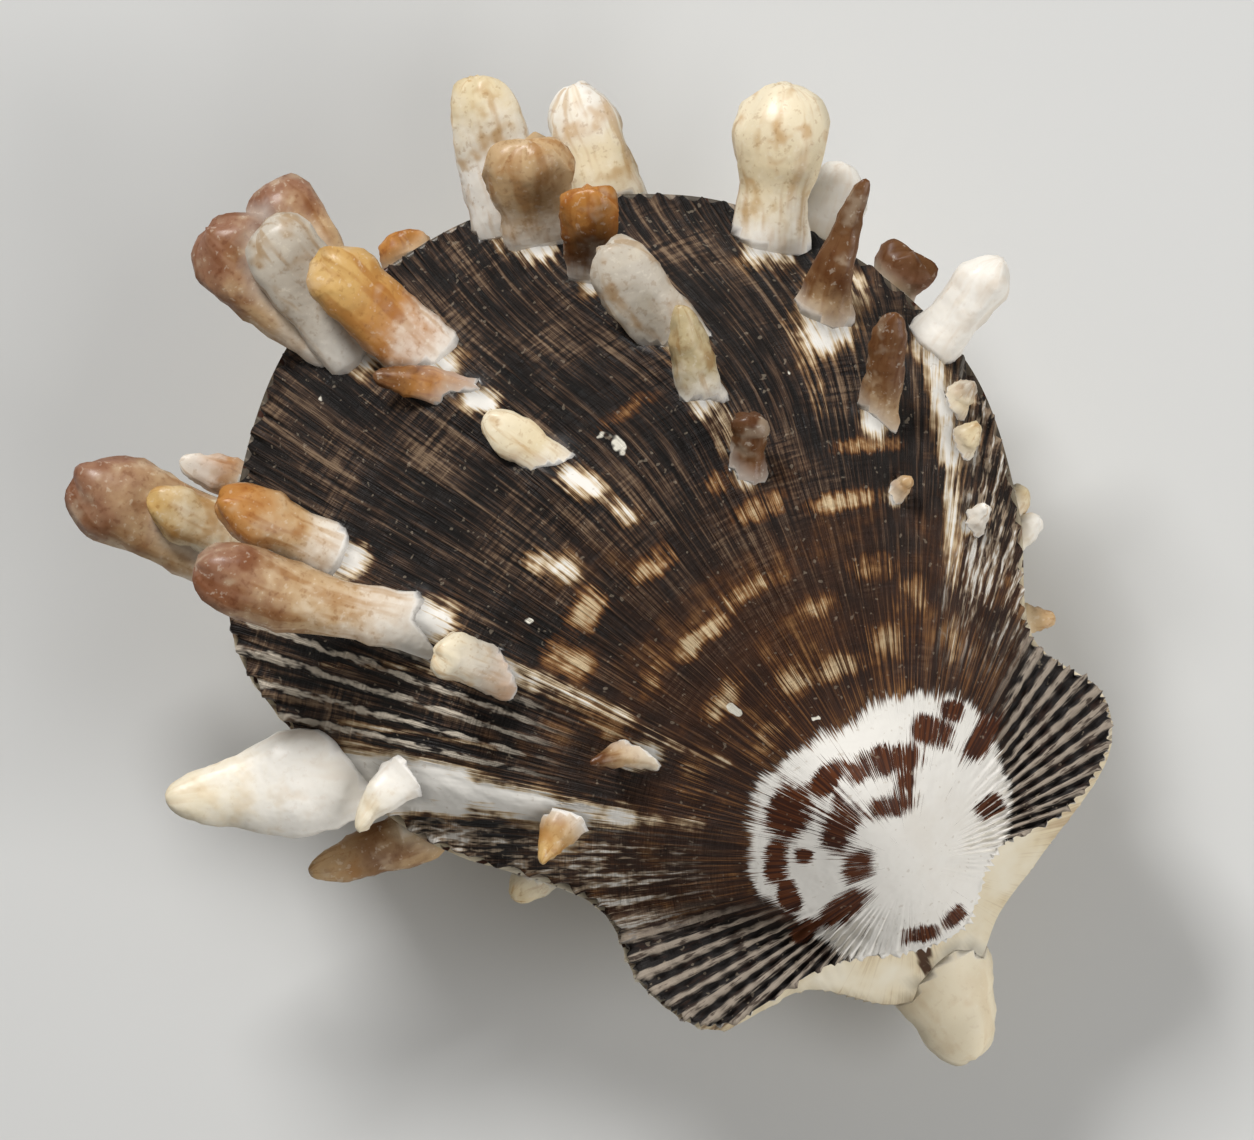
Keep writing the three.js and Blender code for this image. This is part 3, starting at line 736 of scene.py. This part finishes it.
def blend_joins(mesh):
    """Blends the mask that tells spines from valve across the seams between them."""
    count = len(mesh.vertices)
    points = np.empty(count * 3)
    mesh.vertices.foreach_get("co", points)
    spine = np.empty(count)
    mesh.attributes["spine"].data.foreach_get("value", spine)
    ends = np.empty(len(mesh.edges) * 2, int)
    mesh.edges.foreach_get("vertices", ends)
    a, b = ends.reshape(-1, 2).T
    mixed = (spine[a] > 0.5) != (spine[b] > 0.5)
    points = points.reshape(-1, 3)
    middles = (points[a[mixed]] + points[b[mixed]]) / 2
    tree = KDTree(len(middles))
    for index, point in enumerate(middles):
        tree.insert(point, index)
    tree.balance()
    gaps = np.array([tree.find(point)[2] for point in points])
    share = np.clip(gaps / JOIN_BLEND, 0, 1)
    blended = 0.5 + np.where(spine > 0.5, 0.5, -0.5) * share
    mesh.attributes["spine"].data.foreach_set("value", blended.astype(np.float32))
    mesh.update()


def grow_spines(name, spines, root_height, settings, material):
    seeds = new_piece(name, seed_mesh(name, spines, root_height))
    mesh = run_tree(seeds, spine_tree(), {
        "Sides": settings.spine_sides, "Stations": settings.spine_stations,
        "Wobble": settings.spine_wobble, "Material": material,
    })
    bpy.data.objects.remove(seeds)
    return new_piece(name, mesh)


def valve_attributes(mesh, points, outer_count, edge_rows, columns, strokes, dashes):
    """Stores on a valve's points what its relief and colours are worked out from."""
    x, y = points[:, 0], points[:, 1]
    distance, bearing = umbo_polar(x, y)
    thread = thread_bearing(x, y)
    share = disc_share(x, y)
    outer = np.zeros(len(points))
    outer[:outer_count] = ramp(points[:outer_count, 2], 0.1 - SCAR_DEPTH, 2.5 - SCAR_DEPTH)
    edge = np.zeros(len(points))
    for row, amount in edge_rows:
        edge[1 + row * columns:1 + (row + 1) * columns] = amount
    ear = ramp(np.abs(bearing), 60, 70) * ramp(share, 0.86, 0.97) * ramp(-np.abs(bearing), -150, -135)
    left = ramp(thread, -42, -39) * ramp(-thread, 27.5, 30) * ramp(distance, 34, 46)
    patch = np.interp(bearing, *np.array(UMBO_PATCH, float).T)
    fields = {
        "thread": thread, "distance": distance, "share": share, "outer": outer, "edge": edge, "ear": ear,
        "left": left, "umbo": distance / patch, "dash": marks_field(x, y, dashes),
        # The second field on the next line holds painted glints, highlights on the threads
        "fleck": marks_field(x, y, FLECKS), "chalk": marks_field(x, y, PAINTED_GLINTS),
        "pale": strokes_field(x, y, strokes),
    }
    for name, values in fields.items():
        put_attribute(mesh, name, "FLOAT", values)


# Materials


def shade_attribute(g, name, output=2):
    return g.node("ShaderNodeAttribute", {"attribute_name": name}, None, output)


def shade(name):
    return linear(SHADES[name])


def shade_attributes(g, *names):
    return [shade_attribute(g, name) for name in names]


def setting_colours(settings, *names):
    return [(*getattr(settings, name), 1.0) for name in names]


def layered(g, colour, *layers):
    """Lays tones over a colour in order, each through its own mask."""
    for mask, tone in layers:
        colour = g.mix(mask, colour, tone)
    return colour


def object_place(g):
    return g.node("ShaderNodeTexCoord", None, None, 3)


def new_material(name):
    """A new material; returns it with its graph."""
    material = bpy.data.materials.new(name)
    material.use_nodes = True
    return material, Graph(material.node_tree)


def bumped(g, height, strength):
    return g.node("ShaderNodeBump", None, {"Strength": strength, "Distance": BUMP_DEPTH, "Height": height})


def spine_colour(g):
    """Colour along a spine, from its root, middle and tip colours, with streaks, stains and worn specks."""
    along, stained = shade_attributes(g, "along", "stain")
    place = object_place(g)
    around = g.scale(shade_attribute(g, "ring", 1), 2.2)
    stripe = g.noise(g.vector("ADD", around, g.scale(place, 60.0)), 1.0, 2.0)
    blotch = g.noise(place, 330.0, 2.0, 0.6)
    grain = g.noise(place, 1300.0, 2.0, 0.65)
    shift = along + (blotch - 0.5) * 0.55 + (grain - 0.5) * 0.15
    low, middle, high = (shade_attribute(g, f"{part}_colour", 0) for part in ("root", "middle", "tip"))
    colour = layered(g, low, (shift.step(0.05, 0.6), middle), (shift.step(0.45, 1.0), high))
    stain = g.vector("MULTIPLY", colour, (0.68, 0.5, 0.32))
    colour = layered(
        g, colour,
        (blotch.step(0.52, 0.72) * along.step(0.1, 0.5) * 0.8 * stained, stain),
        (stripe.step(0.5, 0.68) * along.step(0.08, 0.3) * 0.7 * stained, stain),
    )
    worn = g.mix(0.5, colour, shade("worn"))
    colour = g.mix(blotch.step(0.46, 0.3) * along.step(0.2, 0.6) * 0.4, colour, worn)
    pitted = g.vector("MULTIPLY", colour, (0.6, 0.46, 0.34))
    return layered(
        g, colour,
        (grain.step(0.56, 0.7) * along.step(0.1, 0.4) * 0.45 * stained, pitted),
        (grain.step(0.4, 0.3) * 0.2, shade("chalky")),
    )


def principled(material, colour, roughness, normal, coat):
    tree = material.node_tree
    shader = next(node for node in tree.nodes if node.type == "BSDF_PRINCIPLED")
    links = {"Base Color": colour, "Roughness": roughness, "Normal": normal, "Coat Weight": coat}
    for name, value in links.items():
        tree.links.new(value.socket, shader.inputs[name])
    shader.inputs["Coat Roughness"].default_value = 0.18
    shader.inputs["Specular IOR Level"].default_value = 0.25


def upper_material(settings):
    """Dark threaded shell with a white umbo, tan flecks, pale ribs, striped ears, stained spines and painted
    glints.
    """
    material, g = new_material("upper valve shell")
    thread, distance, ear, left = shade_attributes(g, "thread", "distance", "ear", "left")
    umbo, dash, fleck, pale = shade_attributes(g, "umbo", "dash", "fleck", "pale")
    # The last of these is the mask of painted glints, highlights on the threads
    outer, spine, chalk = shade_attributes(g, "outer", "spine", "chalk")
    patch, arcs = shade_attributes(g, "patch", "arcs")
    dark, brown, tan, cream, white = setting_colours(settings, "dark", "brown", "tan", "cream", "white")
    place = object_place(g)
    comb = g.noise(g.point(thread * 1.0, distance * 0.05, 3.0), 1.0, 2.0)
    streak = g.noise(g.point(thread * 1.8, distance * 0.075, 13.0), 1.0, 3.0, 0.7)
    rough_comb = g.noise(g.point(thread * 1.3, distance * 0.4, 6.0), 1.0, 2.0, 0.65)
    growth = g.noise(g.point(distance * 2.2, thread * 0.15, 7.0), 1.0, 2.0, 0.6)
    fine_patch = g.noise(place, 420.0, 2.0, 0.6)
    specks = g.noise(place, 1500.0, 1.0)
    swing, mottle = streak - 0.5, fine_patch - 0.5

    near = distance.step(54.0, 22.0)
    warm = (patch * 0.7 + arcs * 0.6 + near * 0.25 - 0.45).step(0.15, 0.5)
    woven = streak + (growth - 0.5) * 0.6 * patch.step(0.42, 0.66) + (patch - 0.5) * 0.4
    tones = [(at, linear(tone)) for at, tone in THREAD_TONES]
    threads = g.node("ShaderNodeValToRGB", {"stops": tones}, {0: woven})
    loose = arcs + swing * 0.7 + mottle * 0.5
    zone = near * (0.35 + patch.step(0.4, 0.6) * 0.65) * 0.8
    amount = fleck * 0.75 + (swing * 1.9 + mottle) * fleck.step(0.02, 0.35)
    fringe = umbo.step(2.1, 1.15)
    rib_lines = (thread * (TURN / LEFT_RIB_PITCH)).math("SINE")
    streaks = (rib_lines * 0.5 + rough_comb * 1.6 - 0.6).step(0.45, 0.75)
    flank = (thread.step(-44.0, -50.0) + thread.step(42.0, 50.0)) * distance.step(18.0, 30.0) * 0.8
    ribbons = rough_comb + (comb - 0.5) * 0.9 + (patch - 0.5) * 0.5
    spread = pale * 0.95 + (swing * 1.6 + mottle * 0.8) * pale.step(0.02, 0.3)
    root_rim = g.mix(patch.step(0.42, 0.6), shade("root rim"), tan)
    bead = (distance * (TURN / BEAD_PITCH) + comb * 8.0).math("SINE")
    fan = (thread * (TURN / EAR_PITCH) + comb * 4.0).math("SINE") * 0.55
    fan = fan + (rough_comb - 0.5) * 1.2 + bead * 0.12
    stripes = layered(
        g, shade("ear dark"),
        (fan.step(-0.15, 0.4), shade("ear light")),
        ((rough_comb * 0.8 + fine_patch * 0.6).step(0.72, 0.84) * 0.85, shade("ear spot")),
    )
    ragged = umbo + swing * 0.32 + (patch - 0.5) * 0.3 + mottle * 0.1
    dashes = (dash + swing * 2.6 + mottle * 0.8).step(0.52, 0.62)
    dash_tone = g.mix(comb.step(0.4, 0.6), shade("dash dark"), shade("dash brown"))
    colour = layered(
        g, dark,
        (warm * (near * 0.8 + 0.2), brown),
        (0.28 + distance.step(20.0, 50.0) * 0.54, threads),
        (loose.step(0.48, 0.68) * zone, shade("glow")),
        (loose.step(0.6, 0.78) * zone, tan),
        (amount.step(0.12, 0.5), shade("glow")),
        (amount.step(0.32, 0.62), tan),
        (amount.step(0.5, 0.85), cream),
        (streak.step(0.54, 0.7) * fringe * 0.6, shade("fringe tan")),
        (streak.step(0.56, 0.4) * fringe * 0.85, shade("fringe dark")),
        (streaks * left * 0.9, shade("rib line")),
        (ribbons.step(0.48, 0.6) * flank, shade("flank")),
        (ribbons.step(0.6, 0.72) * flank, white),
        (spread.step(0.25, 0.6) * 0.7, root_rim),
        (spread.step(0.45, 0.75), cream),
        (spread.step(0.62, 0.9), white),
        (ear, stripes),
        (ragged.step(1.05, 1.0), white),
        (ragged.step(0.95, 0.5) * patch.step(0.5, 0.7) * 0.25, shade("umbo shade")),
        (dashes * umbo.step(1.3, 1.15), dash_tone),
        # Painted highlight: pale glints on the threads
        ((chalk * 1.1 + mottle).step(0.62, 0.68), shade("painted glint")),
        (specks.step(0.68, 0.74) * 0.3, shade("speck")),
    )
    inner = g.mix(distance.step(20.0, 30.0), shade("inside"), shade("inside edge"))
    colour = layered(g, inner, (outer, colour), (spine, spine_colour(g)))
    roughness = (fine_patch * 0.9 + 0.2) * (1 - spine) + spine * 0.42
    ground = (streak * 2.2 + growth) * distance.step(12.0, 24.0) * (1 - ear * 0.6) * pale.step(1.0, 0.4)
    height = ground * (1 - spine) + fine_patch * 0.6
    principled(material, colour, roughness, bumped(g, height, 0.8), spine * 0.12)
    return material


def lower_material(settings):
    """Cream shell with brown spots near the margin, tan stains at the hinge, stained spines and painted shade
    at the margin.
    """
    material, g = new_material("lower valve shell")
    thread, distance, share = shade_attributes(g, "thread", "distance", "share")
    outer, spine, dash = shade_attributes(g, "outer", "spine", "dash")
    white, tan = setting_colours(settings, "white", "tan")
    patch = g.noise(object_place(g), 90.0, 4.0, 0.6)
    comb = g.noise(g.point(thread * 1.2, distance * 0.05, 4.0), 1.0, 3.0)
    spots = g.noise(g.point(thread * 0.9, distance * 0.7, 8.0), 1.0, 1.0)
    growth = g.noise(g.point(share * 46.0, thread * 0.04, 9.0), 1.0, 3.0, 0.6)
    margin = share.step(0.82, 0.97) * distance.step(18.0, 30.0)
    # Painted shade: the lower valve's margin is darkened in streaks where it lies under the upper valve's
    # edge, except at bearings under -34 degrees
    margin_shade_mask = thread.step(-34.0, -26.0) * distance.step(30.0, 44.0) * share.step(0.9, 0.98)
    colour = layered(
        g, shade("lower pale"),
        (patch.step(0.3, 0.6), shade("lower cream")),
        ((patch + comb * 0.5).step(0.72, 0.95) * 0.5, tan),
        (growth.step(0.52, 0.66) * outer * 0.45, shade("growth band")),
        (growth.step(0.46, 0.34) * outer * 0.6, white),
        (comb.step(0.5, 0.62) * margin * 0.6, shade("margin comb")),
        (margin_shade_mask * comb.step(0.7, 0.5) * 0.9, shade("painted margin shade")),
        (spots.step(0.58, 0.64) * margin, shade("margin spot")),
        (dash.step(0.3, 0.7) * (1 - outer), shade("slit")),
        (spine, spine_colour(g)),
    )
    height = (comb * 0.7 + growth * 1.2) * distance.step(10.0, 24.0) * outer + patch * 0.3
    principled(material, colour, patch * 0.3 + 0.3, bumped(g, height, 0.4), (1 - spine) * 0.1)
    return material


# Settings, operators and panel


def length_property(label, words, default):
    return FloatProperty(name=label, description=words, default=default, min=0.0, unit="LENGTH", precision=5)


def count_property(label, words, default):
    return IntProperty(name=label, description=words, default=default, min=1)


def power_property(label, words, default):
    return FloatProperty(name=label, description=words, default=default, subtype="POWER")


def colour_property(label, words, display):
    return FloatVectorProperty(name=label, description=words, default=linear(display)[:3], subtype="COLOR",
                               min=0.0, max=1.0)


class ShellSettings(bpy.types.PropertyGroup):
    """Sizes and colours of the shell."""

    upper_columns: count_property("Upper columns", "Divisions round the upper valve", 840)
    upper_rows: count_property("Upper rows", "Divisions from umbo to upper margin", 84)
    lower_columns: count_property("Lower columns", "Divisions round the lower valve", 600)
    lower_rows: count_property("Lower rows", "Divisions from umbo to lower margin", 60)
    spine_sides: count_property("Spine sides", "Divisions round a spine", 16)
    spine_stations: count_property("Spine stations", "Divisions along a spine", 24)
    thread_height: length_property("Thread height", "Height of the fine radial threads", 0.00007)
    ear_rib_height: length_property("Ear rib height", "Height of the beaded ribs on the ears", 0.0004)
    growth_height: length_property("Growth height", "Height of the growth lines", 0.00022)
    tooth_depth: length_property("Tooth depth", "Depth of the teeth along the margin", 0.00035)
    spine_wobble: length_property("Spine wobble", "Unevenness of the spines", 0.0007)
    dark: colour_property("Dark", "Main colour of the upper valve", (30, 24, 20))
    brown: colour_property("Brown", "Warm colour nearer the umbo", (72, 42, 23))
    tan: colour_property("Tan", "Flecks along the growth lines", (150, 110, 68))
    cream: colour_property("Cream", "Bright flecks and hinge area", (212, 188, 150))
    white: colour_property("White", "Umbo patch and spine roots", (236, 232, 224))


class StageSettings(bpy.types.PropertyGroup):
    """Floor, light and camera."""

    floor: colour_property("Floor", "Colour of the plain floor", (206, 206, 204))
    key: power_property("Key light", "Power of the main light", 5.0)
    fill: power_property("Fill light", "Power of the second light", 2.4)
    azimuth: FloatProperty(name="Azimuth", description="Camera's side", default=math.radians(-38.2),
                           subtype="ANGLE")
    elevation: FloatProperty(name="Elevation", description="Camera's height over the horizon",
                             default=math.radians(87.5), subtype="ANGLE")
    distance: length_property("Camera distance", "From the camera to the shell", 1.2)
    width: length_property("Picture width", "Width of what the camera sees at the shell", 0.1254)


def carved(piece, settings, coarser, tooth_depth, material):
    """A valve's mesh with its fine relief."""
    return run_tree(piece, relief_tree(), {
        "Thread height": settings.thread_height * coarser, "Ear rib height": settings.ear_rib_height,
        "Growth height": settings.growth_height * coarser, "Tooth depth": tooth_depth,
        "Material": material,
    })


class SHELL_OT_upper(bpy.types.Operator):
    """Build the upper valve with its ears and spines"""

    bl_idname = "shell.upper_valve"
    bl_label = "Upper valve"

    def execute(self, context):
        settings = context.scene.shell
        columns, rows = settings.upper_columns, settings.upper_rows
        edge = spaced(closed_curve(DISC_MARGIN + EAR_EDGE), columns)
        rings = outer_rings(edge, swollen_height, rows)
        top = rings[-1][:, 2]
        inner = UMBO + RIM_INSET * (edge - UMBO)
        rim = [np.column_stack([edge, HALF_GAP + 0.5 * (top - HALF_GAP)]),
               np.column_stack([inner, np.full(columns, HALF_GAP)])]
        mesh, points = ring_mesh("upper_valve", rings + rim + hollow_rings(edge, UPPER_HOLLOW), False)
        strokes = PALE_STROKES + root_strokes(UPPER_SPINES)
        edge_rows = [(rows - 3, 0.25), (rows - 2, 0.6), (rows - 1, 1.0), (rows, 1.0), (rows + 1, 0.4)]
        valve_attributes(mesh, points, 1 + rows * columns, edge_rows, columns, strokes, DASHES)
        material = upper_material(settings)
        piece = new_piece("upper_valve_shell", mesh)
        piece.data = carved(piece, settings, 1.0, settings.tooth_depth, material)
        spines = grow_spines("upper_spines", UPPER_SPINES, upper_height, settings, material)
        fuse(piece, spines)
        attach(piece, "root")
        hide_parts("upper_valve")
        return {"FINISHED"}


class SHELL_OT_lower(bpy.types.Operator):
    """Build the lower valve with its hinge area, spur and spines"""

    bl_idname = "shell.lower_valve"
    bl_label = "Lower valve"

    def execute(self, context):
        settings = context.scene.shell
        columns, rows = settings.lower_columns, settings.lower_rows
        away = np.asarray(DISC_MARGIN) - DISC_CENTRE
        flared = np.asarray(DISC_MARGIN) + LOWER_FLARE * away / np.linalg.norm(away, axis=1)[:, None]
        edge = spaced(closed_curve([*map(tuple, flared), *HINGE_EDGE]), columns)
        rings = outer_rings(edge, lower_height, rows)
        for ring in rings:
            ring[:, 2] = np.maximum(ring[:, 2], -SCAR_DEPTH)
        hollow = hollow_rings(edge, -LOWER_HOLLOW)
        turn = edge + RIM_TURN * (hollow[0][:, :2] - edge)
        rim = []
        for step in range(RIM_STEPS):
            level = edge + step / RIM_STEPS * (turn - edge)
            rim.append(np.column_stack([level, -HALF_GAP - hinge_drop(level[:, 1])]))
        rim.append(np.column_stack([turn, np.full(columns, -HALF_GAP)]))
        mesh, points = ring_mesh("lower_valve", rings + rim + hollow, True)
        strokes = root_strokes(LOWER_SPINES)
        valve_attributes(mesh, points, 1 + rows * columns, [], columns, strokes, HINGE_MARKS)
        material = lower_material(settings)
        piece = new_piece("lower_valve_shell", mesh)
        piece.data = carved(piece, settings, LOWER_COARSER, 0.0, material)
        spines = grow_spines("lower_spines", LOWER_SPINES, lower_height, settings, material)
        fuse(piece, spines)
        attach(piece, "root")
        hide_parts("lower_valve")
        return {"FINISHED"}


def area_light(name, place, target, power, size):
    light = bpy.data.lights.new(name, "AREA")
    light.energy = power
    light.size = size
    holder = bpy.data.objects.new(name, light)
    holder.location = place
    holder.rotation_euler = (Vector(target) - Vector(place)).to_track_quat("-Z", "Y").to_euler()
    bpy.context.scene.collection.objects.link(holder)


class SHELL_OT_stage(bpy.types.Operator):
    """Make the plain floor, the soft lights and the camera"""

    bl_idname = "shell.stage"
    bl_label = "Stage"

    def execute(self, context):
        settings = context.scene.shell_stage
        mesh = bpy.data.meshes.new("floor")
        mesh.from_pydata([(-3, -3, 0), (3, -3, 0), (3, 3, 0), (-3, 3, 0)], [], [(0, 1, 2, 3)])
        floor = new_piece("floor", mesh)
        material = bpy.data.materials.new("floor")
        material.use_nodes = True
        shader = material.node_tree.nodes["Principled BSDF"]
        shader.inputs["Base Color"].default_value = (*settings.floor, 1.0)
        shader.inputs["Roughness"].default_value = 0.9
        mesh.materials.append(material)
        world = bpy.data.worlds.new("soft room")
        world.use_nodes = True
        world.node_tree.nodes["Background"].inputs[0].default_value = (1.0, 0.98, 0.95, 1.0)
        world.node_tree.nodes["Background"].inputs[1].default_value = 0.16
        context.scene.world = world
        target = Vector(in_frame((-3.9, 41.5, 0)))
        turn, rise = settings.azimuth, settings.elevation
        right = Vector((math.cos(turn), math.sin(turn), 0))
        up = Vector((-math.sin(turn), math.cos(turn), 0))
        overhead = Vector((0, 0, 1))
        area_light("key", target - right * 0.25 + up * 0.5 + overhead * 0.5, target, settings.key, 0.2)
        area_light("fill", target + right * 0.45 - up * 0.2 + overhead * 0.4, target, settings.fill, 0.4)
        back = Vector((math.sin(turn) * math.cos(rise), -math.cos(turn) * math.cos(rise), math.sin(rise)))
        camera = bpy.data.cameras.new("camera")
        camera.sensor_width = 36.0
        camera.lens = camera.sensor_width * settings.distance / settings.width
        camera.clip_start, camera.clip_end = 0.01, 20.0
        holder = bpy.data.objects.new("camera", camera)
        holder.location = target + back * settings.distance
        holder.rotation_euler = (-back).to_track_quat("-Z", "Y").to_euler()
        context.scene.collection.objects.link(holder)
        context.scene.camera = holder
        context.scene.view_settings.view_transform = "Standard"
        return {"FINISHED"}


class SHELL_PT_panel(bpy.types.Panel):
    """Lists the shell's settings and operators"""

    bl_label = "Spiny oyster shell"
    bl_idname = "SHELL_PT_panel"
    bl_space_type = "VIEW_3D"
    bl_region_type = "UI"
    bl_category = "Shell"

    def draw(self, context):
        for group in (context.scene.shell, context.scene.shell_stage):
            for name in type(group).__annotations__:
                self.layout.prop(group, name)
        for operator in (SHELL_OT_upper, SHELL_OT_lower, SHELL_OT_stage):
            self.layout.operator(operator.bl_idname)


CLASSES = (ShellSettings, StageSettings, SHELL_OT_upper, SHELL_OT_lower, SHELL_OT_stage, SHELL_PT_panel)


def register():
    for made in CLASSES:
        bpy.utils.register_class(made)
    bpy.types.Scene.shell = PointerProperty(type=ShellSettings)
    bpy.types.Scene.shell_stage = PointerProperty(type=StageSettings)


def unregister():
    del bpy.types.Scene.shell_stage
    del bpy.types.Scene.shell
    for made in reversed(CLASSES):
        bpy.utils.unregister_class(made)


def main():
    register()
    bpy.ops.shell.upper_valve()
    bpy.ops.shell.lower_valve()
    bpy.ops.shell.stage()


if __name__ == "__main__":
    main()
